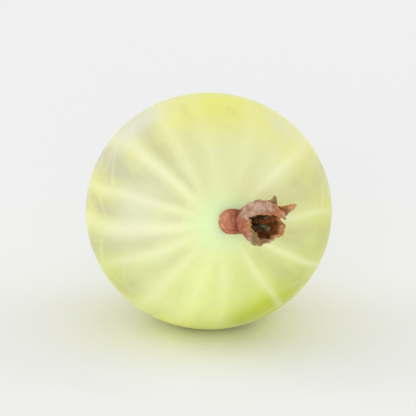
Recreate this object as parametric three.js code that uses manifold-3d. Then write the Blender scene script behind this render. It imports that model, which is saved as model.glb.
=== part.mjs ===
// A green gooseberry as picked: the berry lies on its side, with the withered calyx of its flower at
// one end and a short stalk at the other. Millimetres, +Z up, +X right, and the calyx looks along -Y.
// The origin is the middle of the small flat that the berry rests on.

import * as THREE from "three";
import { mergeVertices } from "three/addons/utils/BufferGeometryUtils.js";
import Module from "manifold-3d";

const { PI, sin, cos, exp, sqrt, min, max, abs, floor, round } = Math;
const DEGREES = PI / 180;

// The berry, in its own frame: +Z runs from the stalk to the calyx, +X is right and +Y is up.
const HALF_LENGTH = 12.6;
const HALF_WIDTH = 11.2;
const HALF_HEIGHT = 10.8; // a little under the width, because the ripe berry sags as it lies
const TAPER = 0.03; // how much slimmer the calyx end is, and how much fuller the stalk end
const LEAN = 12 * DEGREES; // how far the calyx end stands up from level
const TURN = 5.5 * DEGREES; // and how far it looks to the right of straight ahead
const MIDDLE = new THREE.Vector3(0.11, -1.03, 10.6); // its height cuts the flat that it rests on
const NIPPLE = { height: 0.3, spread: 0.16 }; // the skin rises a little round the calyx
const DIMPLE = { depth: 0.35, spread: 0.2 }; // and dips round the stalk

// The veins run from end to end just under the skin and lift it into low ribs.
const VEIN_DEGREES = [0, 40, 70, 96, 118, 138, 162, 184, 206, 229, 250, 272, 304, 330];
const VEIN_WANDER = 2.2 * DEGREES;
const VEIN_RIPPLE = 0.35; // a shorter wave, as a share of the wander
const RIB_HEIGHT = 0.07;
const RIB_STEPS = [0, 0.1, 0.28, 0.5, 0.72, 0.9]; // places across the way from one vein to the next
const RIB_SHARES = [1, 0.35, 0, 0, 0, 0.35]; // how much of the rib's height each place has
const BERRY_ROWS = 30;

// The calyx: a swollen foot that leans over, and a bell that splits into five sepals.
const CALYX_PATH = [
  [-0.2, 0.2, 0],
  [0.8, 0.2, 0.7],
  [1.9, 0.2, 1.3],
  [2.65, 0.3, 2.4],
  [3.5, 0.42, 4.0],
];
const CALYX_RADII = [
  [0, 1.0],
  [0.2, 1.14],
  [0.41, 1.05],
  [0.58, 1.5],
  [0.78, 1.9],
  [1, 1.8],
]; // the share of the way to the mouth, and the radius there
const CALYX_WALL = 0.6;
const CALYX_FLOOR = 0.58; // the share of the way to the mouth where the hollow of the bell begins
const FLOOR_ROUND = 0.3; // the share of the inside that closes over the floor
const CREASES = { count: 9, depth: 0.08 };
const SEPALS = [
  { middle: 112, reach: 3.2, opens: -48, curls: -22, leans: -0.35 },
  { middle: 64, reach: 1.0, opens: 15, curls: 60, leans: 0.4 },
  { middle: 30, reach: 3.0, opens: 5, curls: 5, leans: 0.2 },
  { middle: -16, reach: 0.7, opens: 30, curls: 10, leans: 0.1 },
  { middle: -142, reach: 1.7, opens: 70, curls: 25, leans: 0 },
]; // degrees round the mouth, millimetres past it, degrees outwards, and a drift sideways
const TEARS = [
  { middle: 196, depth: 1.0, halfWidth: 28 },
  { middle: 2, depth: 0.7, halfWidth: 14 },
]; // where the bell has split deeper, between sepals
const SEPAL_POINT = 0.6; // under 1 makes the sides of a sepal full, and over 1 makes them hollow
const CALYX_COLUMNS = 50;
const CALYX_ROWS = 30;
const OUTER_SHARE = 0.6; // the share of those rows on the outside

// The withered styles and stamens stand in the bell: [across, up, along] from its floor, with radii.
const STYLE_RADII = [
  [0, 0.36],
  [0.8, 0.3],
  [1, 0.36],
];
const STAMEN_RADII = [
  [0, 0.3],
  [0.65, 0.3],
  [0.82, 0.44],
  [1, 0.4],
];
const STYLES = { count: 2, length: 3.2, start: 0.1, spread: 0.5, firstDegrees: 60 };
const STAMENS = { count: 4, length: 2.4, start: 0.45, spread: 0.95, firstDegrees: 20 };
const ROD_COLUMNS = 8;
const ROD_ROWS = 8;
const ROD_ROOT = 0.5; // how far each one's root is sunk in the floor

// The stalk, broken off short where it left the twig.
const STALK_PATH = [
  [0, 0, 0],
  [0, 0.02, 0.9],
  [0.1, 0.1, 2.1],
  [0.35, 0.3, 3.6],
  [0.8, 0.7, 5.2],
];
const STALK_RADII = [
  [0, 0.85],
  [0.14, 0.85],
  [0.32, 0.55],
  [0.7, 0.5],
  [0.9, 0.56],
  [1, 0.66],
];
const STALK_COLUMNS = 14;
const STALK_ROWS = 20;

const SEAT_DEPTH = 0.45; // how deep the calyx and the stalk sit in the berry
const SEAT_GAP = 0.15; // the clearance round them there
const CALYX_SEAT = 3.2; // how far along each of them the seat is cut
const STALK_SEAT = 2;
const SEAT_COLUMNS = 28;
const SEAT_ROWS = 14;

const SKIN_COLOURS = { berry: 0xdfe6a0, calyx: 0x9a6a46, stalk: 0x9aa85a };

const wasm = await Module();
wasm.setup();

const mix = (a, b, share) => a + (b - a) * share;
const smooth = (share) => share * share * (3 - 2 * share);

// The value at a place in a list of [place, value], eased from each entry to the next.
function eased(table, place) {
  const next = table.findIndex(([at]) => at >= place);
  if (next < 0) return table[table.length - 1][1];
  if (next === 0) return table[0][1];
  const [from, low] = table[next - 1];
  const [to, high] = table[next];
  return mix(low, high, smooth((place - from) / (to - from)));
}

// A closed skin: a sphere's net of faces, each vertex moved to place(along, around), both 0 to 1.
function skin(columns, rows, place) {
  const geometry = new THREE.SphereGeometry(1, columns, rows);
  const { position } = geometry.attributes;
  for (let i = 0; i < position.count; i++) {
    const row = floor(i / (columns + 1));
    const column = i % (columns + 1) % columns;
    position.setXYZ(i, ...place(row / rows, column / columns));
  }
  geometry.computeVertexNormals();
  return geometry;
}

// A mesh as a solid to join and cut, and the solid's geometry.

function solidOf(mesh) {
  mesh.updateWorldMatrix(true, false);
  const geometry = mesh.geometry.clone().applyMatrix4(mesh.matrixWorld);
  geometry.deleteAttribute("normal");
  geometry.deleteAttribute("uv");
  const merged = mergeVertices(geometry, 1e-4);
  const vertProperties = merged.attributes.position.array;
  const triVerts = new Uint32Array(merged.index.array);
  return new wasm.Manifold(new wasm.Mesh({ numProp: 3, vertProperties, triVerts }));
}

function geometryOf(solid) {
  const { vertProperties, triVerts } = solid.getMesh();
  const geometry = new THREE.BufferGeometry();
  geometry.setAttribute("position", new THREE.BufferAttribute(vertProperties, 3));
  geometry.setIndex(new THREE.BufferAttribute(triVerts, 1));
  geometry.computeVertexNormals();
  return geometry;
}

// The berry.

function veinAngle(index, polar) {
  const own = index % VEIN_DEGREES.length;
  const wholeTurns = floor(index / VEIN_DEGREES.length);
  const ripple = VEIN_RIPPLE * sin(8 * polar + 2.7 * own);
  const wander = VEIN_WANDER * sin(polar) * (sin(2.3 * polar + 1.9 * own) + ripple);
  return VEIN_DEGREES[own] * DEGREES + 2 * PI * wholeTurns + wander;
}

function berryPoint(along, around) {
  const polar = PI * along;
  const place = round(around * VEIN_DEGREES.length * RIB_STEPS.length);
  const vein = floor(place / RIB_STEPS.length);
  const step = place % RIB_STEPS.length;
  const angle = mix(veinAngle(vein, polar), veinAngle(vein + 1, polar), RIB_STEPS[step]);
  const breadth = sin(polar) * (1 - TAPER * cos(polar));
  const rib = RIB_HEIGHT * RIB_SHARES[step] * sin(polar);
  const nipple = NIPPLE.height * exp(-((polar / NIPPLE.spread) ** 2));
  const dimple = DIMPLE.depth * exp(-(((PI - polar) / DIMPLE.spread) ** 2));
  return [
    (HALF_WIDTH + rib) * breadth * cos(angle),
    (HALF_HEIGHT + rib) * breadth * sin(angle),
    HALF_LENGTH * cos(polar) + nipple + dimple,
  ];
}

// A line through points that a round piece follows, which runs straight on past its ends.
class Spine {
  constructor(points) {
    this.curve = new THREE.CatmullRomCurve3(points.map((point) => new THREE.Vector3(...point)));
    this.length = this.curve.getLength();
  }

  // The point at a distance from the start and an angle round it, then moved ahead, and out and aside
  // as seen from another angle.
  point(distance, angle, radius, ahead = 0, moved = { angle: 0, out: 0, aside: 0 }) {
    const share = min(max(distance / this.length, 0), 1);
    const tangent = this.curve.getTangentAt(share);
    const up = new THREE.Vector3(0, 1, 0).projectOnPlane(tangent).normalize();
    const right = new THREE.Vector3().crossVectors(up, tangent);
    const [across, aloft] = [cos(moved.angle), sin(moved.angle)];
    return this.curve
      .getPointAt(share)
      .addScaledVector(tangent, distance - share * this.length + ahead)
      .addScaledVector(right, radius * cos(angle) + moved.out * across - moved.aside * aloft)
      .addScaledVector(up, radius * sin(angle) + moved.out * aloft + moved.aside * across);
  }
}

// How a round end closes: the share of the full radius at a distance from the tip.
const roundEnd = (distance, radius) => sqrt(max(1 - max(1 - distance / radius, 0) ** 2, 0));

// The calyx.

const calyxSpine = new Spine(CALYX_PATH);
const mouth = calyxSpine.length;

// How far an angle round the mouth is from the middle of a sepal or of a tear, in degrees.
const offTo = (angle, { middle }) => abs(((((angle / DEGREES - middle) % 360) + 540) % 360) - 180);

// The sepal at an angle round the mouth, and how near its middle the angle is, from 0 to 1.
function sepalAt(angle) {
  const ranked = SEPALS.map((sepal) => ({ sepal, off: offTo(angle, sepal) }));
  ranked.sort((a, b) => a.off - b.off);
  const [own, next] = ranked;
  return { sepal: own.sepal, nearness: 1 - (2 * own.off) / (own.off + next.off) };
}

// A point of the calyx's wall: a distance from the foot, an angle, and a depth in from the outside.
function wallPoint(distance, angle, depth) {
  const share = min(distance / mouth, 1);
  const crease = CREASES.depth * sin(CREASES.count * angle + 2 * share) * smooth(share);
  const { sepal, nearness } = sepalAt(angle);
  const past = max(distance - mouth, 0);
  const pastShare = past / sepal.reach;
  const bend = (sepal.opens * min(3 * pastShare, 1) + sepal.curls * pastShare) * smooth(nearness);
  const slope = bend * DEGREES;
  const radius = eased(CALYX_RADII, share) + crease - depth * cos(slope);
  const ahead = past * (cos(0.7 * slope) - 1) + depth * sin(slope);
  const out = past * sin(0.7 * slope);
  const aside = sepal.leans * pastShare * past;
  return calyxSpine.point(distance, angle, radius, ahead, { angle: sepal.middle * DEGREES, out, aside });
}

function calyxPoint(along, around) {
  const angle = -2 * PI * around;
  const { sepal, nearness } = sepalAt(angle);
  const torn = TEARS.map((tear) => tear.depth * exp(-((offTo(angle, tear) / tear.halfWidth) ** 2)));
  const rim = mouth + sepal.reach * nearness ** SEPAL_POINT - torn[0] - torn[1];
  if (along <= OUTER_SHARE) {
    const distance = (rim * along) / OUTER_SHARE;
    const [[, foot]] = CALYX_RADII;
    if (distance < foot) return calyxSpine.point(distance, angle, foot * roundEnd(distance, foot));
    return wallPoint(distance, angle, 0);
  }
  const inwards = (along - OUTER_SHARE) / (1 - OUTER_SHARE);
  const distance = mix(rim, mouth * CALYX_FLOOR, inwards);
  const inner = wallPoint(distance, angle, CALYX_WALL);
  const middle = calyxSpine.point(distance, 0, 0);
  return middle.lerp(inner, roundEnd(1 - inwards, FLOOR_ROUND));
}

// A thin rod along a spine, round at both ends.
function rod(spine, radii, columns, rows) {
  return skin(columns, rows, (along, around) => {
    const distance = spine.length * along;
    const radius = eased(radii, along);
    const ends = roundEnd(distance, radius) * roundEnd(spine.length - distance, radius);
    return spine.point(distance, -2 * PI * around, radius * ends);
  });
}

// Rods that stand round the bell's floor, in the calyx's frame.
function ringOfRods({ count, length, start, spread, firstDegrees }, radii) {
  const floorAt = mouth * CALYX_FLOOR - ROD_ROOT;
  return Array.from({ length: count }, (_, i) => {
    const angle = firstDegrees * DEGREES + (2 * PI * i) / count;
    const own = length * (1 + 0.12 * sin(5 * i + 1));
    const spine = new Spine(
      [0, 0.35, 0.7, 1].map((share) => {
        const out = mix(start, spread, share) * (1 + 0.3 * share * sin(3 * i));
        return calyxSpine.point(floorAt + own * share, angle + 0.5 * share, out).toArray();
      }),
    );
    return rod(spine, radii, ROD_COLUMNS, ROD_ROWS);
  });
}

function calyxGeometry() {
  const rods = [...ringOfRods(STYLES, STYLE_RADII), ...ringOfRods(STAMENS, STAMEN_RADII)];
  const bell = solidOf(new THREE.Mesh(skin(CALYX_COLUMNS, CALYX_ROWS, calyxPoint)));
  return geometryOf(rods.reduce((whole, each) => whole.add(solidOf(new THREE.Mesh(each))), bell));
}

function material(name, roughness) {
  return new THREE.MeshStandardMaterial({ color: SKIN_COLOURS[name], roughness, metalness: 0 });
}

function named(name, geometry, roughness) {
  const mesh = new THREE.Mesh(geometry, material(name, roughness));
  mesh.name = name;
  return mesh;
}

// What grows from the berry's two ends, in a group turned as the berry lies.

const stalkSpine = new Spine(STALK_PATH);

const lying = new THREE.Group();
lying.position.copy(MIDDLE);
lying.rotation.set(PI / 2 - LEAN, 0, TURN, "ZXY");

const calyx = named("calyx", calyxGeometry(), 0.85);
calyx.position.z = HALF_LENGTH + NIPPLE.height - SEAT_DEPTH;

const stalk = named("stalk", rod(stalkSpine, STALK_RADII, STALK_COLUMNS, STALK_ROWS), 0.7);
stalk.position.z = -(HALF_LENGTH - DIMPLE.depth - SEAT_DEPTH);
stalk.rotation.y = PI;

lying.add(calyx, stalk);

// The berry is cut flat where it rests, and has a shallow seat for each of the two.

function seat(piece, spine, radii, reach) {
  const hollow = new THREE.Mesh(
    skin(SEAT_COLUMNS, SEAT_ROWS, (along, around) => {
      const distance = mix(-SEAT_GAP, reach, along);
      const radius = eased(radii, max(distance, 0) / spine.length) + SEAT_GAP;
      const ends = roundEnd(distance + SEAT_GAP, radius) * roundEnd(reach - distance, radius);
      return spine.point(distance, -2 * PI * around, radius * ends);
    }),
  );
  piece.add(hollow);
  const solid = solidOf(hollow);
  piece.remove(hollow);
  return solid;
}

function berryGeometry() {
  const whole = new THREE.Mesh(skin(VEIN_DEGREES.length * RIB_STEPS.length, BERRY_ROWS, berryPoint));
  whole.position.copy(lying.position);
  whole.rotation.copy(lying.rotation);
  const below = new THREE.Mesh(new THREE.BoxGeometry(4 * HALF_WIDTH, 4 * HALF_WIDTH, HALF_HEIGHT));
  below.position.z = -HALF_HEIGHT / 2;
  return geometryOf(
    solidOf(whole)
      .subtract(solidOf(below))
      .subtract(seat(calyx, calyxSpine, CALYX_RADII, CALYX_SEAT))
      .subtract(seat(stalk, stalkSpine, STALK_RADII, STALK_SEAT)),
  );
}

const gooseberry = new THREE.Group();
gooseberry.add(named("berry", berryGeometry(), 0.35), lying);

export default gooseberry;
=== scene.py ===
"""The looks of a green gooseberry as picked: a translucent veined berry that lies on its side, with the
withered calyx of its flower at one end and a short stalk at the other.

Lengths below are millimetres and are turned into metres where a mesh is made."""

import math

import bpy
import numpy as np
from mathutils import Euler, Matrix, Vector, noise


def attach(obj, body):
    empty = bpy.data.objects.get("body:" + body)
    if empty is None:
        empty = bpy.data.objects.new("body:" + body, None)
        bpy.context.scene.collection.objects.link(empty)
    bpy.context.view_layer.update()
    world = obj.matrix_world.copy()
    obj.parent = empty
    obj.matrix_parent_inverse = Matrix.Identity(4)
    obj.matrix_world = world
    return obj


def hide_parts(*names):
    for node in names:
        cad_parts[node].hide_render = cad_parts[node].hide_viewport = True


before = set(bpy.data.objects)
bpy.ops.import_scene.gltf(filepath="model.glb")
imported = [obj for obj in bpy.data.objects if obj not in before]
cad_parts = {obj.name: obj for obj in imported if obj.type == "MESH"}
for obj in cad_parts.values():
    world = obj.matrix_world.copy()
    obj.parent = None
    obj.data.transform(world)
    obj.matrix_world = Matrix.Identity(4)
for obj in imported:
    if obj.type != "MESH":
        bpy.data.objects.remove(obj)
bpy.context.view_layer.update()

MM = 0.001

# The berry, in its own frame: +Z runs from the stalk to the calyx, +X is right and +Y is up.
HALF_LENGTH = 12.6
HALF_WIDTH = 11.2
HALF_HEIGHT = 10.8
TAPER = 0.03  # how much slimmer the calyx end is, and how much fuller the stalk end
NIPPLE_HEIGHT, NIPPLE_SPREAD = 0.3, 0.16  # the skin rises a little round the calyx
DIMPLE_DEPTH, DIMPLE_SPREAD = 0.35, 0.2  # and dips round the stalk
LEAN = math.radians(12)  # how far the calyx end looks up
TURN = math.radians(5.5)  # and how far to the right
MIDDLE = (0.11, -1.03, 10.598)  # 0.002 lower than the solid's, so that the crest stays in its box
FLAT_EDGE = 0.12  # how softly the skin turns into the flat that it rests on
RIB_HEIGHT = 0.05  # how far the skin stands up over a main vein
SEAT_DEPTH = 0.45  # how deep the calyx and the stalk sit in the berry
BERRY_COLUMNS, BERRY_ROWS = 360, 260

# The main veins: degrees round the calyx end from +X, breadth, how pale it is, from 0 to 1, and how
# dim the flesh is between it and the next.
VEINS = [
    (0, 0.6, 0.55, 1.0), (40, 0.75, 0.6, 0.3), (70, 1.2, 0.3, 0.1), (96, 1.3, 0.25, 0.2),
    (118, 1.1, 0.35, 1.1), (138, 1.0, 0.9, 1.6), (162, 0.8, 0.8, 1.2), (184, 1.5, 0.9, 1.5),
    (206, 0.9, 0.6, 1.1), (229, 1.2, 0.5, 0.4), (250, 1.0, 0.35, 0.3), (272, 1.1, 0.35, 0.4),
    (304, 0.7, 0.6, 1.2), (330, 0.6, 0.8, 1.4),
]
VEIN_SPAN = math.radians(5), math.radians(175)  # how far from the calyx end they start and stop
VEIN_WANDER = math.radians(2.2)  # how far a vein strays from a straight run between the ends
VEIN_RIPPLE = 0.35  # the strength of a short ripple in that

# What lies between the main veins, in radians from the calyx end.
DIM_SPAN = 0.32, 2.8
SIDE_VEIN_STARTS = (0.9, 1.15, 1.4, 1.65, 1.9, 2.15)
SEED_STARTS = (1.0, 1.45, 1.9)
START_SPREAD = 0.15  # how far chance moves a start
SIDE_VEIN_SEED = 5
SEEDS_SEED = 11

# Soft spots on the skin: a whitish waxy film, partly real and partly painted sheen, thickest where the
# sheen falls; a painted glow, where the flesh is greenest; a painted reflection at the top, where it is
# yellow; and painted shade, where it is dull. Each has its place, its spread and its strength.
BLOOM_AND_SHEEN = [
    ((-6, -10, 13.5), 5, 0.5), ((-6.5, -2.5, 19.3), 4, 0.8), ((7, -2.5, 18.8), 3, 0.6),
    ((-3, 7, 18), 6, 0.3), ((9.5, 5, 10), 5, 0.2), ((-2.5, -9, 5), 4, 0.35),
    ((-3.5, -10, 12.3), 2.5, 0.3),
]
# Painted glow: saturated green-yellow spots low on the berry.
PAINTED_GLOW = [
    ((4.2, -7.8, 3.1), 2.8, 1.0), ((6.6, -7, 3.9), 3.6, 1.0), ((10.2, -2.5, 9.5), 4, 0.9),
    ((-9, -6, 6), 3, 0.5), ((-8, 5, 4), 6, 0.6),
]
# A painted reflection: a yellow spot at the top.
PAINTED_TOP_REFLECTION = [((0.5, 0, 21.6), 4.5, 0.8)]
# Painted shade: darker, duller spots low on the sides.
PAINTED_SHADE = [
    ((-8, -7.5, 9), 3.5, 0.8), ((-4, -9.5, 14), 4, 0.4), ((3.5, -10.2, 8), 3, 0.45),
    ((7.9, -7.3, 7.8), 3, 0.8), ((9.7, -4.5, 13.9), 3, 0.6),
]
# Painted light: between these heights the flesh turns from greener to yellower.
PAINTED_LOW_HEIGHT, PAINTED_HIGH_HEIGHT = 3, 17  # the flesh turns from its lower colour to its upper one between these

# The fine hairs.
HAIR_DENSITY = 90000.0  # to a square metre
HAIR_LENGTH = 0.5
HAIR_RADIUS = 0.012
HAIR_TILT = 0.5  # radians, at most
HAIR_SCALES = 0.5, 1.2  # the shortest and the longest against that length
HAIR_SEED = 3
HAIR_LOWEST, HAIR_HIGHEST, HAIR_WIDEST = 1.2, 20.7, 10.5  # they are worn off beyond these

# The calyx, as the solid has it: its middle line, its radii, and the five sepals.
CALYX_PATH = [(-0.2, 0.2, 0), (0.8, 0.2, 0.7), (1.9, 0.2, 1.3), (2.65, 0.3, 2.4), (3.5, 0.42, 4.0)]
CALYX_RADII = [(0, 1.0), (0.2, 1.14), (0.41, 1.05), (0.58, 1.5), (0.78, 1.9), (1, 1.8)]
NECK_SHARE = 0.41  # how far along it the neck is
RUDDY_SIDE, RUDDY_WIDTH = 196, 50  # degrees round it, where the red of its foot runs up the bell
CALYX_WALL = 0.2
CALYX_FLOOR = 0.5  # how far along it the floor of the bell is
FLOOR_ROUND = 0.3
CALYX_COLUMNS, CALYX_ROWS = 260, 150
OUTER_SHARE = 0.55  # the share of those rows on the outside
CREASES = [(9, 2, 0.08), (23, 5, 0.04)]  # the bell's folds: how many round it, their twist and height
CRUMPLES = [(1.7, 0.09), (4.5, 0.04)]  # how fine each noise in the crumple is, and how deep
CRUMPLE_SEED = 4  # without a seed the noise would differ from run to run
CALYX_SHRINKAGE = 0.99  # keeps the crumple inside the solid's box
SEPALS = [  # degrees round the mouth, length past it, degrees outwards at its foot and tip, drift, dusk
    (112, 3.2, -48, -22, -0.35, 0.0),
    (64, 1.0, 15, 60, 0.4, 1.0),
    (30, 3.0, 5, 5, 0.2, 0.0),
    (-16, 0.7, 30, 10, 0.1, 0.0),
    (-142, 1.7, 70, 25, 0.0, 1.0),
]
SEPAL_POINT = 0.6
TEARS = [(196, 1.0, 28), (2, 0.7, 14)]  # splits in the bell: degrees round the mouth, depth, half width

# The withered styles and stamens, which stand in the bell: start and spread are how far from its
# middle line they stand at foot and tip, and head is how thick they end against their radius.
STYLES = {
    "count": 2, "length": 3.4, "start": 0.1, "spread": 0.45,
    "first_degrees": 60, "radius": 0.16, "head": 1.0,
}
STAMENS = {
    "count": 4, "length": 2.6, "start": 0.45, "spread": 0.95,
    "first_degrees": 20, "radius": 0.12, "head": 2.4,
}
THREAD_ROOT = 0.3  # how far each one's root is sunk in the floor
THREAD_STEPS, THREAD_SIDES = 16, 10

# The stalk, broken off short where it left the twig.
STALK_PATH = [(0, 0, 0), (0, 0.02, 0.9), (0.1, 0.1, 2.1), (0.35, 0.3, 3.6), (0.77, 0.67, 5.08)]
STALK_RADII = [(0, 0.85), (0.14, 0.85), (0.32, 0.55), (0.7, 0.5), (0.9, 0.56), (1, 0.66)]
STALK_TIP = 0.02  # the radius that its round ends close to

# The view and the light.
CAMERA_ELEVATION = math.radians(17)
CAMERA_DISTANCE = 450
VIEW_WIDTH = 38
TARGET = (0, 0, 10.6)
FLOOR_REACH = 1500
SKY_STRENGTH = 0.78
SOFTBOX_AIM = (0, 0, 8)
SOFTBOXES = [  # name, place, width and power
    ("left_softbox", (-1000, 350, 800), 900, 1.6),
    ("right_softbox", (1000, 350, 800), 750, 1.4),
    ("front_softbox", (-150, -1400, 80), 1000, 9.0),
]


def srgb(red, green, blue):
    """A colour as seen on a screen, 0 to 255, as the linear colour that a shader takes."""
    shares = (value / 255 for value in (red, green, blue))
    return (*(((s + 0.055) / 1.055) ** 2.4 if s > 0.04045 else s / 12.92 for s in shares), 1.0)


# The colours of the skin. The flesh at the ends and at the waist has one for its lower side and one for
# its upper side: painted light, greener below and yellower above.
END_FLESH = srgb(230, 246, 152), srgb(230, 232, 184)
WAIST_FLESH = srgb(246, 255, 92), srgb(246, 246, 66)
PATCHY_FLESH = srgb(212, 212, 140)
DIM_FLESH = srgb(194, 191, 130)
# The colour of the painted shade.
PAINTED_SHADE_COLOUR = srgb(206, 212, 146)
# The colour of the painted reflection at the top.
PAINTED_REFLECTION_COLOUR = srgb(240, 242, 76)
# The colour of the painted glow.
PAINTED_GLOW_COLOUR = srgb(194, 206, 24)
SEED_SHADE = srgb(186, 180, 124)
PALE_VEIN = srgb(242, 242, 198)
# A waxy white film that also serves as painted sheen.
WAX_AND_SHEEN = srgb(234, 235, 220)
GREEN_END = srgb(224, 247, 192)
PALE_HAIR = srgb(238, 240, 214), srgb(220, 224, 180)

# The colours of the dried flower, the stalk and the floor: of two, noise runs from one to the other.
FOOT_RED = srgb(222, 148, 112), srgb(190, 106, 80)
BELL_GREY = srgb(206, 170, 146), srgb(176, 132, 104)
BELL_RED = srgb(184, 108, 82)
# Painted shade in the crease at the neck.
NECK_SHADE = srgb(104, 48, 22)
TIP_ORANGE = srgb(220, 144, 82)
SPECKLE_BROWN = srgb(96, 50, 28)
RIM_INSIDE = srgb(190, 136, 92), srgb(140, 86, 52)
DEEP_INSIDE = srgb(180, 116, 62), srgb(128, 76, 36)
# A painted highlight on the inner edges near the tips.
EDGE_HIGHLIGHT = srgb(238, 186, 126)
DUSKY_GREEN = srgb(132, 124, 84)
THREAD_GREY = srgb(122, 116, 82), srgb(84, 70, 46)
STALK_GREEN = srgb(164, 178, 92), srgb(122, 138, 62)
STALK_BROWN = srgb(128, 88, 52)
FLOOR_GREY = (0.955, 0.955, 0.955, 1.0), (0.96, 0.96, 0.96, 1.0)  # as a shader takes them


# Trees of nodes, written as formulas.


class Field:
    """A number that flows through a tree of nodes, so that a formula can be written plainly."""

    def __init__(self, graph, socket):
        self.graph = graph
        self.socket = socket

    def do(self, operation, *others):
        return self.graph.math(operation, self, *others)

    def __add__(self, other):
        return self.do("ADD", other)

    def __sub__(self, other):
        return self.do("SUBTRACT", other)

    def __mul__(self, other):
        return self.do("MULTIPLY", other)

    def __truediv__(self, other):
        return self.do("DIVIDE", other)

    def __pow__(self, other):
        return self.do("POWER", other)

    def __rsub__(self, other):
        return self.graph.math("SUBTRACT", other, self)

    def __neg__(self):
        return self.do("MULTIPLY", -1.0)

    __radd__ = __add__
    __rmul__ = __mul__

    def bell(self, spread):
        """exp(-(self / spread) squared)"""
        return (-((self / spread) ** 2.0)).do("EXPONENT")

    def ramp(self, low, high, start=0.0, end=1.0):
        """start up to low, end past high, and eased between them."""
        node = self.graph.add(
            "ShaderNodeMapRange",
            {"Value": self, "From Min": low, "From Max": high, "To Min": start, "To Max": end},
            interpolation_type="SMOOTHSTEP",
        )
        return Field(self.graph, node.outputs["Result"])


class Graph:
    """Adds nodes to a tree. What goes into a node is a number, a vector, a name, a socket or a Field."""

    def __init__(self, tree):
        self.tree = tree

    def add(self, kind, inputs=(), **settings):
        node = self.tree.nodes.new(kind)
        for name, value in settings.items():
            setattr(node, name, value)
        for name, value in dict(inputs).items():
            socket = next(s for s in node.inputs if s.enabled and name in (s.name, s.identifier))
            self.feed(socket, value)
        return node

    def feed(self, socket, value):
        value = getattr(value, "socket", value)
        if isinstance(value, bpy.types.NodeSocket):
            self.tree.links.new(value, socket)
        else:
            socket.default_value = value

    def math(self, operation, *values):
        node = self.add("ShaderNodeMath", operation=operation)
        for socket, value in zip(node.inputs, values):
            self.feed(socket, value)
        return Field(self, node.outputs[0])

    def split(self, vector):
        node = self.add("ShaderNodeSeparateXYZ", {"Vector": vector})
        return [Field(self, output) for output in node.outputs]

    def join(self, x, y, z):
        return self.add("ShaderNodeCombineXYZ", {"X": x, "Y": y, "Z": z}).outputs[0]

    def vector(self, operation, *values, scale=None):
        node = self.add("ShaderNodeVectorMath", operation=operation)
        for socket, value in zip(node.inputs, values):
            self.feed(socket, value)
        if scale is not None:
            self.feed(node.inputs["Scale"], scale)
        return node.outputs[0]

    def noise(self, place, scale, detail=2.0, roughness=0.5):
        node = self.add(
            "ShaderNodeTexNoise",
            {"Vector": place, "Scale": scale, "Detail": detail, "Roughness": roughness},
        )
        return Field(self, node.outputs["Fac"])


class Growth(Graph):
    """A Geometry Nodes tree with named inputs, each with the value that the piece is grown with."""

    KINDS = {
        float: "NodeSocketFloat",
        int: "NodeSocketInt",
        tuple: "NodeSocketVector",
        bpy.types.Object: "NodeSocketObject",
        bpy.types.Material: "NodeSocketMaterial",
    }

    def __init__(self, name, values):
        super().__init__(bpy.data.node_groups.new(name, "GeometryNodeTree"))
        self.values = values
        interface = self.tree.interface
        interface.new_socket("Geometry", in_out="OUTPUT", socket_type="NodeSocketGeometry")
        interface.new_socket("Geometry", in_out="INPUT", socket_type="NodeSocketGeometry")
        for label, value in values.items():
            interface.new_socket(label, in_out="INPUT", socket_type=self.KINDS[type(value)])
        self.given = self.tree.nodes.new("NodeGroupInput")
        self.result = self.tree.nodes.new("NodeGroupOutput")

    def __getitem__(self, label):
        return Field(self, self.given.outputs[label])

    def shape(self, label):
        """The geometry of the object that an input names."""
        node = self.add("GeometryNodeObjectInfo", {"Object": self[label]}, transform_space="ORIGINAL")
        return node.outputs["Geometry"]

    def place(self):
        return self.add("GeometryNodeInputPosition").outputs[0]

    def named(self, name):
        node = self.add("GeometryNodeInputNamedAttribute", {"Name": name}, data_type="FLOAT")
        return Field(self, node.outputs["Attribute"])

    def keep(self, geometry, name, value, kind="FLOAT"):
        node = self.add(
            "GeometryNodeStoreNamedAttribute",
            {"Geometry": geometry, "Name": name, "Value": value},
            data_type=kind,
        )
        return node.outputs[0]

    def move_to(self, geometry, place):
        return self.add("GeometryNodeSetPosition", {"Geometry": geometry, "Position": place}).outputs[0]

    def piece(self, name, geometry, material, source=None):
        """Grows the tree's result from a source mesh, if it has one, and keeps it as a plain mesh."""
        smooth = self.add("GeometryNodeSetShadeSmooth", {"Geometry": geometry}).outputs[0]
        real = self.add("GeometryNodeRealizeInstances", {"Geometry": smooth}).outputs[0]
        skin = self.add("GeometryNodeSetMaterial", {"Geometry": real, "Material": self[material]})
        self.feed(self.result.inputs[0], skin.outputs[0])
        bed = bpy.data.objects.new(name, source or bpy.data.meshes.new(name + "_bed"))
        bpy.context.scene.collection.objects.link(bed)
        growth = bed.modifiers.new("growth", "NODES")
        growth.node_group = self.tree
        for item in self.tree.interface.items_tree:
            if item.in_out == "INPUT" and item.name in self.values:
                growth[item.identifier] = self.values[item.name]
        graph = bpy.context.evaluated_depsgraph_get()
        grown = bed.evaluated_get(graph)
        mesh = bpy.data.meshes.new_from_object(grown, preserve_all_data_layers=True, depsgraph=graph)
        mesh.name = name
        bed.modifiers.remove(growth)
        bed.data = mesh
        return bed


# Lines and skins made of points.


def mesh_object(name, points, faces=(), edges=(), material=None):
    """An object of its own at the origin, shaded smooth if it has a material to show."""
    mesh = bpy.data.meshes.new(name)
    mesh.from_pydata([tuple(map(float, p)) for p in points], edges, faces)
    mesh.update()
    piece = bpy.data.objects.new(name, mesh)
    bpy.context.scene.collection.objects.link(piece)
    if material:
        mesh.materials.append(material)
        mesh.polygons.foreach_set("use_smooth", [True] * len(mesh.polygons))
    return piece


def attribute(piece, name, values):
    """Keeps a number at each point of a piece, for its finish or its tree to read."""
    layer = piece.data.attributes.new(name, "FLOAT", "POINT")
    layer.data.foreach_set("value", np.asarray(values, np.float32))


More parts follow.
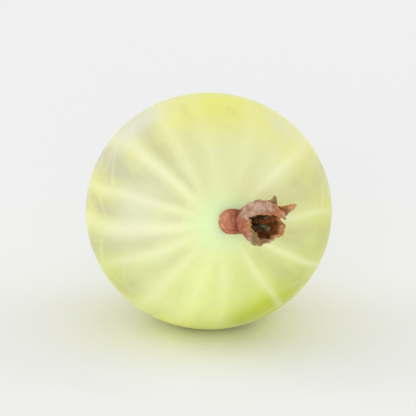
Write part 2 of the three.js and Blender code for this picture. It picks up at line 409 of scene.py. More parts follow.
def line_object(name, paths):
    """Several lines as one mesh of edges. Each has its points, and the breadth and strength at each."""
    points, breadths, strengths, edges = [], [], [], []
    for path, breadth, strength in paths:
        first = len(points)
        points.extend(path)
        breadths.extend(np.broadcast_to(breadth, len(path)))
        strengths.extend(np.broadcast_to(strength, len(path)))
        edges.extend((first + i, first + i + 1) for i in range(len(path) - 1))
    piece = mesh_object(name, points, edges=edges)
    attribute(piece, "breadth", breadths)
    attribute(piece, "strength", strengths)
    return piece


def ease(share):
    """From 0 to 1, with a soft start and a soft end."""
    return share * share * (3 - 2 * share)


def eased(table, places):
    """The values at places in a list of (place, value), eased from each entry to the next."""
    at, values = np.array(table, float).T
    places = np.clip(places, at[0], at[-1])
    step = np.clip(np.searchsorted(at, places, side="right") - 1, 0, len(at) - 2)
    share = (places - at[step]) / (at[step + 1] - at[step])
    return values[step] + (values[step + 1] - values[step]) * ease(share)


def round_end(distance, radius):
    """How a round end closes: the share of the full radius at a distance from the tip."""
    return np.sqrt(np.clip(1 - np.clip(1 - distance / radius, 0, None) ** 2, 0, None))


class Spine:
    """A smooth line through points, with an up and a right direction all along it."""

    STEPS = 60

    def __init__(self, points):
        p = np.array(points, float)
        p = np.vstack([2 * p[0] - p[1], p, 2 * p[-1] - p[-2]])
        line = [self.stretch(*p[i : i + 4]) for i in range(len(p) - 3)]
        self.line = np.vstack([*line, p[-2]])
        self.at = np.concatenate([[0], np.cumsum(np.linalg.norm(np.diff(self.line, axis=0), axis=1))])
        self.length = float(self.at[-1])
        along = np.gradient(self.line, self.at, axis=0)
        self.along = along / np.linalg.norm(along, axis=1, keepdims=True)
        up = np.array([0, 1, 0]) - self.along * self.along[:, 1:2]
        self.up = up / np.linalg.norm(up, axis=1, keepdims=True)
        self.right = np.cross(self.up, self.along)

    def stretch(self, a, b, c, d):
        """The centripetal Catmull-Rom line from b to c."""
        knots = np.cumsum([0, *(np.linalg.norm(q - p) ** 0.5 for p, q in ((a, b), (b, c), (c, d)))])
        t = np.linspace(knots[1], knots[2], self.STEPS, endpoint=False)[:, None]

        def between(low, high, p, q):
            return ((knots[high] - t) * p + (t - knots[low]) * q) / (knots[high] - knots[low])

        ab, bc, cd = between(0, 1, a, b), between(1, 2, b, c), between(2, 3, c, d)
        return between(1, 2, between(0, 2, ab, bc), between(1, 3, bc, cd))

    def sampled(self, table, distance):
        return np.stack([np.interp(distance, self.at, column) for column in table.T], axis=-1)

    def point(self, distance, angle, radius, ahead=0.0, moved=(0.0, 0.0, 0.0)):
        """Points at distances along it and angles round it, moved ahead. Each may also be moved by an
        angle that it faces, and how far out that way and aside from it."""
        facing, out, aside = moved
        inside = np.clip(distance, 0, self.length)
        forward = (distance - inside + ahead)[..., None]
        right = (radius * np.cos(angle) + out * np.cos(facing) - aside * np.sin(facing))[..., None]
        up = (radius * np.sin(angle) + out * np.sin(facing) + aside * np.cos(facing))[..., None]
        return (
            self.sampled(self.line, inside)
            + self.sampled(self.along, inside) * forward
            + self.sampled(self.right, inside) * right
            + self.sampled(self.up, inside) * up
        )


def ball_faces(columns, rows):
    """The faces of a closed skin: a point at each end and rows - 1 rings of columns points between."""
    ring = np.arange(columns)
    beside = (ring + 1) % columns
    last = 1 + (rows - 1) * columns
    faces = [(0, 1 + a, 1 + b) for a, b in zip(ring, beside)]
    for row in range(rows - 2):
        near, far = 1 + row * columns, 1 + (row + 1) * columns
        faces += [(near + a, far + a, far + b, near + b) for a, b in zip(ring, beside)]
    near = 1 + (rows - 2) * columns
    faces += [(near + a, last, near + b) for a, b in zip(ring, beside)]
    return [tuple(map(int, face)) for face in faces]


def lying(height, turned=False):
    """Where a part of the berry's own frame lies: height along its axis, and turned to look back."""
    place = Matrix.Translation(Vector(MIDDLE))
    lean = Euler((math.pi / 2 - LEAN, 0, TURN), "XYZ").to_matrix().to_4x4()
    local = Matrix.Translation((0, 0, height))
    about = Matrix.Rotation(math.pi, 4, "Y") if turned else Matrix.Identity(4)
    return place @ lean @ local @ about


def laid(points, matrix):
    """Points of a part's own frame, where they lie, in metres."""
    turn = np.array(matrix.to_3x3())
    return (np.asarray(points) @ turn.T + np.array(matrix.translation)) * MM


# Materials.


class Finish(Graph):
    """A material of one Principled shader, whose colour, roughness and bump come from nodes."""

    def __init__(self, name, **fixed):
        self.material = bpy.data.materials.new(name)
        self.material.use_nodes = True
        super().__init__(self.material.node_tree)
        self.shader = self.tree.nodes["Principled BSDF"]
        for socket, value in fixed.items():
            self.shader.inputs[socket.replace("_", " ")].default_value = value

    def named(self, name):
        return Field(self, self.add("ShaderNodeAttribute", attribute_name=name).outputs["Fac"])

    def named_vector(self, name):
        return self.add("ShaderNodeAttribute", attribute_name=name).outputs["Vector"]

    def object_place(self):
        return self.add("ShaderNodeTexCoord").outputs["Object"]

    def stretched(self, place, scale):
        return self.vector("MULTIPLY", place, scale)

    def blend(self, share, low, high):
        """The colour low where the share is 0, high where it is 1, and a mix between."""
        node = self.add(
            "ShaderNodeMix", {"Factor_Float": share, "A_Color": low, "B_Color": high}, data_type="RGBA"
        )
        return next(output for output in node.outputs if output.enabled)

    def within(self, place, spots):
        """How deep a place is in some soft spots, each of which has its middle, spread and strength."""
        total = 0.0
        for spot, spread, strength in spots:
            middle = tuple(MM * value for value in spot)
            node = self.add(
                "ShaderNodeVectorMath", {"Vector": place, "Vector_001": middle}, operation="DISTANCE"
            )
            away = Field(self, node.outputs["Value"])
            total = away.bell(spread * MM) * strength + total
        return total

    def bumped(self, height, distance):
        node = self.add("ShaderNodeBump", {"Height": height, "Distance": distance * MM})
        self.feed(self.shader.inputs["Normal"], node.outputs[0])

    def coloured(self, colour, roughness):
        self.feed(self.shader.inputs["Base Color"], colour)
        self.feed(self.shader.inputs["Roughness"], roughness)
        return self.material


def skin_finish():
    """Translucent, with pale veins, dimmer flesh between them, a thin whitish wax that also carries a
    painted sheen, and painted light: a painted glow, a painted reflection at the top, painted shade, and
    flesh greener below and yellower above.
    """
    finish = Finish(
        "gooseberry_skin",
        Subsurface_Weight=1.0,
        Subsurface_Radius=(1.0, 1.0, 0.3),
        Subsurface_Scale=3.5 * MM,
        IOR=1.4,
        Specular_IOR_Level=0.3,
        Coat_Weight=0.3,
        Coat_Roughness=0.25,
        Coat_IOR=1.5,
        Sheen_Weight=0.15,
        Sheen_Roughness=0.35,
        Sheen_Tint=(1.0, 1.0, 0.85, 1.0),
    )
    grain, place = finish.named_vector("grain"), finish.object_place()
    vein, seed, dim, polar = (finish.named(name) for name in ("vein", "seed", "dim", "polar"))
    patches = finish.noise(finish.stretched(grain, (2.2, 2.2, 4.5)), 1.0, 3.0).ramp(0.35, 0.68)
    streaks = finish.noise(finish.stretched(grain, (9, 9, 4)), 1.0, 3.0, 0.6).ramp(0.3, 0.75)
    blots = finish.noise(finish.stretched(grain, (3.5, 3.5, 9)), 1.0).ramp(0.38, 0.62)
    cloudy = finish.noise(place, 170.0, 3.0, 0.55).ramp(0.3, 0.7, 0.6, 1.0)
    # Waxy film and painted sheen.
    bloom_and_sheen = finish.within(place, BLOOM_AND_SHEEN) * cloudy
    # Painted glow.
    painted_glow = finish.within(place, PAINTED_GLOW) * cloudy
    # Painted reflection at the top.
    painted_top_reflection = finish.within(place, PAINTED_TOP_REFLECTION)
    # Painted shade.
    painted_shade = finish.within(place, PAINTED_SHADE) * cloudy
    waist = polar.ramp(0.18, 0.48) * polar.ramp(0.62, 0.95, 1.0, 0.4)
    height = finish.split(place)[2]
    # Painted light by height: greener low down, yellower high up.
    painted_light_by_height = height.ramp(PAINTED_LOW_HEIGHT * MM, PAINTED_HIGH_HEIGHT * MM)
    flesh = finish.blend(waist, finish.blend(painted_light_by_height, *END_FLESH), finish.blend(painted_light_by_height, *WAIST_FLESH))
    flesh = finish.blend(patches * 0.3, flesh, PATCHY_FLESH)
    flesh = finish.blend(dim * (0.35 + streaks * 0.25 + blots * 0.3), flesh, DIM_FLESH)
    # Painted shade darkens the flesh.
    flesh = finish.blend(painted_shade, flesh, PAINTED_SHADE_COLOUR)
    # Painted yellow reflection at the top.
    flesh = finish.blend(painted_top_reflection, flesh, PAINTED_REFLECTION_COLOUR)
    # Painted glow of saturated green-yellow.
    flesh = finish.blend(painted_glow, flesh, PAINTED_GLOW_COLOUR)
    flesh = finish.blend(seed * 0.2, flesh, SEED_SHADE)
    veined = finish.blend(vein * 0.85, flesh, PALE_VEIN)
    # The waxy film with its painted sheen.
    with_wax_and_sheen = finish.blend(bloom_and_sheen, veined, WAX_AND_SHEEN)
    colour = finish.blend(polar.ramp(0.02, 0.13, 0.8, 0.0), with_wax_and_sheen, GREEN_END)
    roughness = finish.noise(place, 900.0).ramp(0.3, 0.7, 0.36, 0.46)
    finish.bumped(finish.noise(place, 1500.0, 3.0), 0.012)
    return finish.coloured(colour, roughness)


def calyx_finish():
    """Dried and speckled: a red foot, a greyer bell with painted shade in the crease at its neck, a brown
    inside, and pale edges with a painted highlight, or dusky ones.
    """
    finish = Finish("dried_flower", Specular_IOR_Level=0.3)
    place = finish.object_place()
    names = ("tip", "inside", "foot", "ruddy", "dusk")
    tip, inside, foot, ruddy, dusk = (finish.named(name) for name in names)
    speckle = finish.noise(place, 2600.0, 3.0, 0.65).ramp(0.44, 0.6)
    blotch = finish.noise(place, 800.0).ramp(0.35, 0.65)
    red = finish.blend(blotch, *FOOT_RED)
    grey = finish.blend(blotch, *BELL_GREY)
    bell = finish.blend((ruddy + blotch * 0.3).ramp(0.3, 1.0), grey, BELL_RED)
    outer = finish.blend(foot.ramp(NECK_SHARE, NECK_SHARE + 0.1), red, bell)
    # Painted shade: the crease at the neck darkened.
    neck = (foot - NECK_SHARE + 0.05).bell(0.11)
    outer = finish.blend(neck * 0.9 * (0.7 + blotch * 0.3), outer, NECK_SHADE)
    outer = finish.blend(tip.ramp(0.82, 1.0) * (0.15 + blotch * 0.85), outer, TIP_ORANGE)
    outer = finish.blend(speckle * 0.4, outer, SPECKLE_BROWN)
    colour = finish.blend(inside.ramp(0.0, 0.3), outer, finish.blend(speckle, *RIM_INSIDE))
    colour = finish.blend(inside.ramp(0.35, 0.9), colour, finish.blend(speckle, *DEEP_INSIDE))
    # The inner edges near the tips get a painted highlight, or dusky green on the dusky sepals.
    edge = finish.blend(dusk, EDGE_HIGHLIGHT, DUSKY_GREEN)
    colour = finish.blend(inside.ramp(0.0, 0.3) * tip.ramp(0.8, 0.97) * 0.8, colour, edge)
    colour = finish.blend(dusk * tip.ramp(0.86, 1.0) * 0.6, colour, DUSKY_GREEN)
    finish.bumped(finish.noise(place, 2400.0, 4.0, 0.6), 0.06)
    return finish.coloured(colour, 0.8)


def thread_finish():
    finish = Finish("dried_threads", Specular_IOR_Level=0.25)
    place = finish.object_place()
    colour = finish.blend(finish.noise(place, 1500.0, 3.0).ramp(0.4, 0.6), *THREAD_GREY)
    finish.bumped(finish.noise(place, 3000.0), 0.03)
    return finish.coloured(colour, 0.85)


def stalk_finish():
    """Fibres that run along it, green at the berry and brown at the broken end."""
    finish = Finish(
        "green_stalk",
        Specular_IOR_Level=0.35,
        Subsurface_Weight=0.1,
        Subsurface_Radius=(1.0, 1.0, 0.4),
        Subsurface_Scale=0.5 * MM,
    )
    place = finish.stretched(finish.object_place(), (3000.0, 700.0, 3000.0))
    fibre = finish.noise(place, 1.0, 3.0).ramp(0.3, 0.7)
    green = finish.blend(fibre, *STALK_GREEN)
    colour = finish.blend(finish.named("along").ramp(0.55, 0.97), green, STALK_BROWN)
    finish.bumped(fibre, 0.03)
    return finish.coloured(colour, 0.6)


def hair_finish():
    finish = Finish("fine_hair")
    return finish.coloured(finish.blend(finish.noise(finish.object_place(), 400.0), *PALE_HAIR), 0.45)


def floor_finish():
    finish = Finish("pale_floor", Specular_IOR_Level=0.0)
    return finish.coloured(finish.blend(finish.noise(finish.object_place(), 3.0), *FLOOR_GREY), 1.0)


# The berry.


def on_ball(polar, angle):
    """A direction from the berry's middle: polar is counted from the calyx end, angle from +X."""
    return np.stack([np.sin(polar) * np.cos(angle), np.sin(polar) * np.sin(angle), np.cos(polar)], axis=-1)


def vein_angle(index, polar):
    """How far round the calyx end a main vein is, all along it. Past the last the first comes again."""
    own = index % len(VEINS)
    turns = index // len(VEINS)
    ripple = VEIN_RIPPLE * np.sin(8 * polar + 2.7 * own)
    wander = VEIN_WANDER * np.sin(polar) * (np.sin(2.3 * polar + 1.9 * own) + ripple)
    return math.radians(VEINS[own][0]) + 2 * math.pi * turns + wander


def between_veins(index, polar, share):
    """A direction that is a share of the way from one main vein to the next."""
    own, other = vein_angle(index, polar), vein_angle(index + 1, polar)
    return on_ball(polar, own + (other - own) * share)


def main_veins():
    """The main veins: slim at the ends, faint there and also round the waist."""
    polar = np.linspace(*VEIN_SPAN, 90)
    slim = 0.35 + 0.65 * np.sin(polar) ** 0.7
    shown = np.clip((polar - 0.12) / 0.3, 0, 1) * np.clip((math.pi - 0.1 - polar) / 0.3, 0, 1)
    shown *= 1 - 0.45 * np.exp(-(((polar - 0.5 * math.pi) / 0.6) ** 2))
    paths = []
    for i, (_, breadth, pale, _) in enumerate(VEINS):
        paths.append((on_ball(polar, vein_angle(i, polar)), breadth / HALF_WIDTH * slim, pale * shown))
    return line_object("main_veins", paths)


def dim_flesh():
    """The dimmer flesh that shows between the veins, from near one end to near the other."""
    polar = np.linspace(*DIM_SPAN, 50)
    shown = np.sin(math.pi * (polar - polar[0]) / (polar[-1] - polar[0])) ** 0.5
    paths = []
    for i, (_, _, _, dim) in enumerate(VEINS):
        breadth = 0.6 * (vein_angle(i + 1, polar) - vein_angle(i, polar)) * np.sin(polar)
        paths.append((between_veins(i, polar, 0.5), breadth, dim * shown))
    return line_object("dim_flesh", paths)


def side_veins():
    """Finer veins that leave a main one and join the next, or fade out between the two."""
    chance = np.random.default_rng(SIDE_VEIN_SEED)
    share = np.linspace(0, 1, 40)
    paths = []
    for i in range(len(VEINS)):
        for start in SIDE_VEIN_STARTS:
            start += chance.uniform(-START_SPREAD, START_SPREAD)
            reach = chance.uniform(0.25, 0.6)
            joins = chance.random() < 0.6
            across = 1.0 if joins else chance.uniform(0.3, 0.6)
            wave = 0.06 * np.sin(math.pi * share) * np.sin(chance.uniform(3, 9) * share + i)
            side = across * ease(share) + wave
            if chance.random() < 0.4:
                side = 1.0 - side
            polar = np.clip(start + reach * share, 0.4, 2.8)
            strength = chance.uniform(0.3, 0.75) * min(1, start - 0.5) * (1 if joins else 1 - share)
            breadth = chance.uniform(0.35, 0.5) / HALF_WIDTH
            paths.append((between_veins(i, polar, side), breadth, strength))
    return line_object("side_veins", paths)


def seeds():
    """The seeds in the flesh, which show as dim long spots between the veins."""
    chance = np.random.default_rng(SEEDS_SEED)
    share = np.linspace(0, 1, 12)
    paths = []
    for i in range(len(VEINS)):
        for start in SEED_STARTS:
            start += chance.uniform(-START_SPREAD, START_SPREAD)
            polar = start + chance.uniform(0.25, 0.4) * share
            side = chance.uniform(0.35, 0.65)
            breadth = chance.uniform(0.6, 1.0) / HALF_WIDTH
            strength = chance.uniform(0.3, 1.0) * np.sin(math.pi * share)
            paths.append((between_veins(i, polar, side), breadth, strength))
    return line_object("seeds", paths)


def berry_sizes():
    """The named inputs of the berry's tree."""
    return {
        "Half Length": HALF_LENGTH * MM,
        "Half Width": HALF_WIDTH * MM,
        "Half Height": HALF_HEIGHT * MM,
        "Taper": TAPER,
        "Nipple Height": NIPPLE_HEIGHT * MM,
        "Nipple Spread": NIPPLE_SPREAD,
        "Dimple Depth": DIMPLE_DEPTH * MM,
        "Dimple Spread": DIMPLE_SPREAD,
        "Rib Height": RIB_HEIGHT * MM,
        "Flat Edge": FLAT_EDGE * MM,
        "Columns": BERRY_COLUMNS,
        "Rows": BERRY_ROWS,
        "Middle": tuple(MM * value for value in MIDDLE),
        "Lie": (math.pi / 2 - LEAN, 0.0, TURN),
    }


def shown_lines(tree, label):
    """How strongly the nearest of some lines shows at each point: a soft band of its breadth."""
    lines = tree.shape(label)
    near = tree.add("GeometryNodeProximity", {"Geometry": lines}, target_element="EDGES")
    nearest = tree.add("GeometryNodeSampleNearest", {"Geometry": lines}, domain="POINT").outputs[0]

    def there(name):
        node = tree.add(
            "GeometryNodeSampleIndex",
            {"Geometry": lines, "Value": tree.named(name), "Index": nearest},
            data_type="FLOAT",
            domain="POINT",
        )
        return Field(tree, node.outputs[0])

    distance = Field(tree, near.outputs["Distance"]) / there("breadth")
    return distance.bell(0.6) * there("strength")


def berry_piece(skin):
    """A ball that keeps what its finish reads, drawn out to the berry's shape and laid on its flat."""
    lines = {
        "Main Veins": main_veins(),
        "Side Veins": side_veins(),
        "Dim Flesh": dim_flesh(),
        "Seeds": seeds(),
    }
    tree = Growth("berry_growth", berry_sizes() | lines | {"Skin": skin})
    ball = tree.add(
        "GeometryNodeMeshUVSphere", {"Segments": tree["Columns"], "Rings": tree["Rows"], "Radius": 1.0}
    ).outputs[0]
    x, y, z = tree.split(tree.place())
    polar = z.do("MINIMUM", 1.0).do("MAXIMUM", -1.0).do("ARCCOSINE")
    girth = (x * x + y * y).do("SQRT")
    main = shown_lines(tree, "Main Veins")
    ring = girth.do("MAXIMUM", 0.02)  # at the ends the girth itself is 0
    skinned = tree.keep(ball, "vein", main.do("MAXIMUM", shown_lines(tree, "Side Veins")))
    skinned = tree.keep(skinned, "seed", shown_lines(tree, "Seeds"))
    skinned = tree.keep(skinned, "dim", shown_lines(tree, "Dim Flesh"))
    skinned = tree.keep(skinned, "polar", polar / math.pi)
    skinned = tree.keep(skinned, "grain", tree.join(x / ring, y / ring, polar / math.pi), "FLOAT_VECTOR")
    slim = 1.0 - tree["Taper"] * z
    rib = tree["Rib Height"] * main * girth
    nipple = tree["Nipple Height"] * polar.bell(tree["Nipple Spread"])
    dimple = tree["Dimple Depth"] * (math.pi - polar).bell(tree["Dimple Spread"])
    wide = (tree["Half Width"] + rib) * x * slim
    high = (tree["Half Height"] + rib) * y * slim
    whole = tree.move_to(skinned, tree.join(wide, high, tree["Half Length"] * z + nipple + dimple))
    laid_down = tree.add(
        "GeometryNodeTransform",
        {"Geometry": whole, "Translation": tree["Middle"], "Rotation": tree["Lie"]},
    ).outputs[0]
    x, y, z = tree.split(tree.place())
    edge = tree["Flat Edge"]
    rested = tree.move_to(laid_down, tree.join(x, y, (z + (z * z + edge * edge).do("SQRT")) * 0.5))
    berry = tree.piece("berry_skin", rested, "Skin")
    for line in lines.values():
        bpy.data.objects.remove(line)
    return berry


def hair_piece(berry, finish):
    """Sparse fine hairs that stand out of the skin."""
    values = {
        "Density": HAIR_DENSITY,
        "Length": HAIR_LENGTH * MM,
        "Radius": HAIR_RADIUS * MM,
        "Tilt": HAIR_TILT,
        "Seed": HAIR_SEED,
        "Lowest": HAIR_LOWEST * MM,
        "Highest": HAIR_HIGHEST * MM,
        "Widest": HAIR_WIDEST * MM,
        "Finish": finish,
    }
    tree = Growth("hair_growth", values)
    spread = tree.add(
        "GeometryNodeDistributePointsOnFaces",
        {"Mesh": tree.given.outputs["Geometry"], "Density": tree["Density"], "Seed": tree["Seed"]},
    )
    across, _, height = tree.split(tree.place())
    low = tree.math("LESS_THAN", height, tree["Lowest"])
    high = tree.math("GREATER_THAN", height, tree["Highest"])
    wide = tree.math("GREATER_THAN", across.do("ABSOLUTE"), tree["Widest"])
    sown = tree.add(
        "GeometryNodeDeleteGeometry",
        {"Geometry": spread.outputs["Points"], "Selection": low + high + wide},
        domain="POINT",
    ).outputs[0]
    hair = tree.add(
        "GeometryNodeMeshCone",
        {
            "Vertices": 4,
            "Side Segments": 2,
            "Radius Top": 0.0,
            "Radius Bottom": tree["Radius"],
            "Depth": tree["Length"],
        },
    ).outputs[0]
    tilt = tree["Tilt"]

    def random(least, most, seed):
        node = tree.add(
            "FunctionNodeRandomValue", {"Min_001": least, "Max_001": most, "Seed": seed}, data_type="FLOAT"
        )
        return Field(tree, node.outputs[1])

    lean = tree.join(random(-tilt, tilt, 1), random(-tilt, tilt, 2), 0.0)
    stood = tree.add(
        "FunctionNodeRotateRotation",
        {"Rotation": spread.outputs["Rotation"], "Rotate By": lean},
        rotation_space="LOCAL",
    ).outputs[0]
    hairs = tree.add(
        "GeometryNodeInstanceOnPoints",
        {"Points": sown, "Instance": hair, "Rotation": stood, "Scale": random(*HAIR_SCALES, 4)},
    ).outputs[0]
    return tree.piece("fine_hairs", hairs, "Finish", source=berry.data.copy())


# The calyx.

CALYX_SPINE = Spine(CALYX_PATH)
MOUTH = CALYX_SPINE.length
CALYX_FOOT = HALF_LENGTH + NIPPLE_HEIGHT - SEAT_DEPTH


def degrees_off(angles, middle):
    """How far angles are from a middle one, in degrees, the short way round."""
    return np.abs((np.degrees(angles) - middle + 180) % 360 - 180)


def close_to(angles, middle, half_width):
    """1 at a middle angle, fading to 0 on both sides of it."""
    return np.exp(-((degrees_off(angles, middle) / half_width) ** 2))


def sepal_at(angles):
    """For each angle round the mouth: its sepal's values, and how near the sepal's middle it is."""
    sepals = np.array(SEPALS, float)
    off = degrees_off(angles[:, None], sepals[None, :, 0])
    order = np.argsort(off, axis=1)
    first, second = np.sort(off, axis=1)[:, 0], np.sort(off, axis=1)[:, 1]
    return sepals[order[:, 0]], 1 - 2 * first / (first + second)


def wall_points(distance, angle, depth, sepal, nearness):
    """Points on the calyx's wall, or a depth inside it: up the bell, and on along the leaning sepals."""
    share = np.clip(distance / MOUTH, 0, 1)
    crease = sum(height * np.sin(folds * angle + twist * share) for folds, twist, height in CREASES)
    past = np.clip(distance - MOUTH, 0, None)
    past_share = past / sepal[:, 1]
    lean = sepal[:, 2] * np.clip(3 * past_share, 0, 1) + sepal[:, 3] * past_share
    slope = np.radians(lean * ease(nearness))
    radius = eased(CALYX_RADII, share) + crease * ease(share) - depth * np.cos(slope)
    ahead = past * (np.cos(0.7 * slope) - 1) + depth * np.sin(slope)
    moved = (np.radians(sepal[:, 0]), past * np.sin(0.7 * slope), sepal[:, 4] * past_share * past)
    return CALYX_SPINE.point(distance, angle, radius, ahead, moved)


def calyx_rim(angle, sepal, nearness):
    """How far along the calyx's edge is: past the mouth at the sepals, and short of it at the tears."""
    ragged = 0.94 + 0.04 * np.sin(31 * angle + 1) + 0.03 * np.sin(53 * angle)
    rim = MOUTH + sepal[:, 1] * nearness**SEPAL_POINT * ragged
    for middle, depth, half_width in TEARS:
        rim -= depth * close_to(angle, middle, half_width)
    return rim


def calyx_ring(along, rim, angle, sepal, nearness):
    """One ring of the skin: its points, how far along they are, and how far inside. The rings run up
    the outside to the rim and back in to the floor."""
    if along <= OUTER_SHARE:
        distance = rim * along / OUTER_SHARE
        end_radius = CALYX_RADII[0][1]
        depth = (1 - round_end(distance, end_radius)) * end_radius
        return wall_points(distance, angle, depth, sepal, nearness), distance, 0 * angle
    inwards = (along - OUTER_SHARE) / (1 - OUTER_SHARE)
    distance = rim + (MOUTH * CALYX_FLOOR - rim) * inwards
    inner = wall_points(distance, angle, np.full(len(angle), CALYX_WALL), sepal, nearness)
    middle = CALYX_SPINE.point(distance, angle, 0 * angle)
    ring = middle + (inner - middle) * round_end(1 - inwards, FLOOR_ROUND)
    inside = np.clip(inwards * 8, 0, 1) * np.clip((MOUTH + 0.5 - distance) / 1.1, 0.35, 1)
    return ring, distance, inside


def crumpled(points, tip):
    """Points moved by coarse and fine noise, least at the foot, and all drawn in a little."""
    noise.seed_set(CRUMPLE_SEED)
    moved = 0.0
    for fineness, depth in CRUMPLES:
        moved = moved + np.array([noise.noise_vector(Vector(p) * fineness)[:] for p in points]) * depth
    return (points + moved * np.clip(tip * 3, 0.3, 1)[:, None]) * CALYX_SHRINKAGE


def calyx_piece(finish):
    """The closed skin of the dried flower, with what its finish reads."""
    angle = 2 * math.pi * np.arange(CALYX_COLUMNS) / CALYX_COLUMNS
    sepal, nearness = sepal_at(angle)
    rim = calyx_rim(angle, sepal, nearness)
    rows = [calyx_ring(i / CALYX_ROWS, rim, angle, sepal, nearness) for i in range(CALYX_ROWS + 1)]
    rings, distances, insides = (np.array(part) for part in zip(*rows))

    def ends_joined(values):
        return np.concatenate([values[0][:1], *values[1:-1], values[-1][:1]])

    tips, feet = distances / rim, distances / MOUTH
    points = np.vstack([rings[0][:1], *rings[1:-1], rings[-1].mean(axis=0, keepdims=True)])
    points = crumpled(points, ends_joined(tips))
    faces = [face[::-1] for face in ball_faces(CALYX_COLUMNS, CALYX_ROWS)]
    calyx = mesh_object("withered_calyx", laid(points, lying(CALYX_FOOT)), faces, material=finish)
    attribute(calyx, "tip", ends_joined(tips))
    attribute(calyx, "inside", ends_joined(insides))
    attribute(calyx, "foot", ends_joined(feet))
    reddened = NECK_SHARE + 0.05 + 0.45 * close_to(angle, RUDDY_SIDE, RUDDY_WIDTH)
    attribute(calyx, "ruddy", ends_joined(np.clip((reddened + 0.2 - feet) / 0.3, 0, 1)))
    dusk = sepal[:, 5] * eased([(0, 0), (0.5, 0.7), (1, 1)], nearness)
    attribute(calyx, "dusk", np.concatenate([[0], np.tile(dusk, CALYX_ROWS - 1), [0]]))
    return calyx


def thread_piece(name, finish, count, length, start, spread, first_degrees, radius, head):
    """Styles or stamens: rods that stand in a ring round the middle line of the bell."""
    matrix = lying(CALYX_FOOT)
    line = line_object("bell_line", [(laid(CALYX_SPINE.line, matrix), 1.0, 1.0)])
    values = {
        "Bell Line": line,
        "Up": tuple(matrix.to_3x3() @ Vector((0, 1, 0))),
        "Count": count,
        "Foot": (MOUTH * CALYX_FLOOR - THREAD_ROOT) * MM,
        "Length": length * MM,
        "Start": start * MM,
        "Spread": spread * MM,
        "First Angle": math.radians(first_degrees),
        "Radius": radius * MM,
        "Head": head,
        "Finish": finish,
    }
    tree = Growth(name + "_growth", values)
    points = tree.add("GeometryNodePoints", {"Count": tree["Count"]}).outputs[0]
    index = Field(tree, tree.add("GeometryNodeInputIndex").outputs[0])
    numbered = tree.keep(points, "rod", index)
    straight = tree.add("GeometryNodeCurvePrimitiveLine").outputs[0]
    divided = tree.add("GeometryNodeResampleCurve", {"Curve": straight, "Count": THREAD_STEPS}).outputs[0]
    ring = tree.add("GeometryNodeInstanceOnPoints", {"Points": numbered, "Instance": divided}).outputs[0]
    rods = tree.add("GeometryNodeRealizeInstances", {"Geometry": ring}).outputs[0]
    share = Field(tree, tree.add("GeometryNodeSplineParameter").outputs["Factor"])
    rod = tree.named("rod")
    length = tree["Length"] * (1.0 + 0.12 * (rod * 5.0 + 1.0).do("SINE"))
    angle = tree["First Angle"] + rod * (2 * math.pi) / tree["Count"] + share * 0.5
    out = tree["Start"] + (tree["Spread"] - tree["Start"]) * share
    out = out * (1.0 + 0.3 * share * (rod * 3.0).do("SINE"))
    bell = tree.add("GeometryNodeMeshToCurve", {"Mesh": tree.shape("Bell Line")}).outputs[0]
    spot = tree.add(
        "GeometryNodeSampleCurve",
        {"Curves": bell, "Length": tree["Foot"] + length * share},
        mode="LENGTH",
    )
    along = spot.outputs["Tangent"]
    right = tree.vector("NORMALIZE", tree.vector("CROSS_PRODUCT", tree["Up"], along))
    upward = tree.vector("CROSS_PRODUCT", along, right)
    across = tree.vector(
        "ADD",
        tree.vector("SCALE", right, scale=out * angle.do("COSINE")),
        tree.vector("SCALE", upward, scale=out * angle.do("SINE")),
    )
    stood = tree.move_to(rods, tree.vector("ADD", spot.outputs["Position"], across))
    profile = tree.add(
        "GeometryNodeCurvePrimitiveCircle", {"Resolution": THREAD_SIDES, "Radius": tree["Radius"]}
    ).outputs[0]
    closing = (share * (1.0 - share) * 14.0).do("MINIMUM", 1.0).do("SQRT")
    stem = 0.8
    thickness = (stem + (tree["Head"] - stem) * share.ramp(0.6, 0.85)) * closing
    tube = tree.add(
        "GeometryNodeCurveToMesh",
        {"Curve": stood, "Profile Curve": profile, "Scale": thickness, "Fill Caps": True},
    ).outputs[0]
    piece = tree.piece(name, tube, "Finish")
    bpy.data.objects.remove(line)
    return piece


# The stalk.


def stalk_piece(finish):
    """A ridged tube along the stalk's line, with round ends."""
    spine = Spine(STALK_PATH)
    matrix = lying(-(HALF_LENGTH - DIMPLE_DEPTH - SEAT_DEPTH), turned=True)
    share = np.linspace(0, 1, 90)
    near, far = spine.length * share, spine.length * (1 - share)
    radius = eased(STALK_RADII, share)
    radius = radius * round_end(near, radius) * round_end(far, 0.4 * radius)
    points = laid(spine.point(near, 0 * share, 0 * share), matrix)
    line = line_object("stalk_line", [(points, np.maximum(radius, STALK_TIP) * MM, 1.0)])
    values = {"Line": line, "Sides": 40, "Ridges": 7.0, "Ridge": 0.06, "Finish": finish}
    tree = Growth("stalk_growth", values)
    path = tree.add("GeometryNodeMeshToCurve", {"Mesh": tree.shape("Line")}).outputs[0]
    along = Field(tree, tree.add("GeometryNodeSplineParameter").outputs["Factor"])
    path = tree.keep(path, "along", along)
    circle = tree.add(
        "GeometryNodeCurvePrimitiveCircle", {"Resolution": tree["Sides"], "Radius": 1.0}
    ).outputs[0]
    around = Field(tree, tree.add("GeometryNodeSplineParameter").outputs["Factor"]) * (2 * math.pi)
    ridge = 1.0 - tree["Ridge"] * (around * tree["Ridges"]).do("SINE") ** 2.0
    profile = tree.move_to(circle, tree.vector("SCALE", tree.place(), scale=ridge))
    tube = tree.add(
        "GeometryNodeCurveToMesh",
        {"Curve": path, "Profile Curve": profile, "Scale": tree.named("breadth"), "Fill Caps": True},
    ).outputs[0]
    piece = tree.piece("broken_stalk", tube, "Finish")
    bpy.data.objects.remove(line)
    return piece


# The floor, the light and the camera.


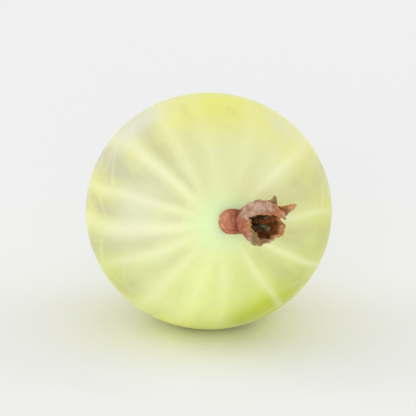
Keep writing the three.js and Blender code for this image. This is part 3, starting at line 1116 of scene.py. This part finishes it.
def softbox(name, place, width, power):
    data = bpy.data.lights.new(name, "AREA")
    data.shape = "SQUARE"
    data.size = width * MM
    data.energy = power
    light = bpy.data.objects.new(name, data)
    bpy.context.scene.collection.objects.link(light)
    light.location = Vector(place) * MM
    aim = Vector(SOFTBOX_AIM) * MM - light.location
    light.rotation_euler = aim.to_track_quat("-Z", "Y").to_euler()


def stage():
    side = FLOOR_REACH * MM
    corners = [(-side, -side, 0), (side, -side, 0), (side, side, 0), (-side, side, 0)]
    floor = mesh_object("floor", corners, [(0, 1, 2, 3)], material=floor_finish())
    world = bpy.data.worlds.new("studio")
    bpy.context.scene.world = world
    world.use_nodes = True
    background = world.node_tree.nodes["Background"]
    background.inputs["Color"].default_value = (1, 1, 1, 1)
    background.inputs["Strength"].default_value = SKY_STRENGTH
    for name, place, width, power in SOFTBOXES:
        softbox(name, place, width, power)


def camera():
    target = Vector(TARGET) * MM
    back = Vector((0, -math.cos(CAMERA_ELEVATION), math.sin(CAMERA_ELEVATION)))
    data = bpy.data.cameras.new("camera")
    data.sensor_width = 36
    data.lens = data.sensor_width * CAMERA_DISTANCE / VIEW_WIDTH
    data.clip_start = 0.01
    view = bpy.data.objects.new("camera", data)
    bpy.context.scene.collection.objects.link(view)
    view.location = target + back * CAMERA_DISTANCE * MM
    view.rotation_euler = (-back).to_track_quat("-Z", "Y").to_euler()
    bpy.context.scene.camera = view


def main():
    bpy.context.scene.view_settings.view_transform = "Standard"
    berry = berry_piece(skin_finish())
    hairs = hair_piece(berry, hair_finish())
    calyx = calyx_piece(calyx_finish())
    threads = thread_finish()
    styles = thread_piece("styles", threads, **STYLES)
    stamens = thread_piece("stamens", threads, **STAMENS)
    stalk = stalk_piece(stalk_finish())
    pieces = [
        (berry, "berry", "skin"),
        (hairs, None, "skin"),
        (calyx, "calyx", "dried_flower"),
        (styles, "calyx", "dried_flower"),
        (stamens, "calyx", "dried_flower"),
        (stalk, "stalk", "green_stalk"),
    ]
    for piece, node, slot in pieces:
        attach(piece, "root")
        if node:
            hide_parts(node)
    stage()
    camera()
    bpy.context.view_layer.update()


main()
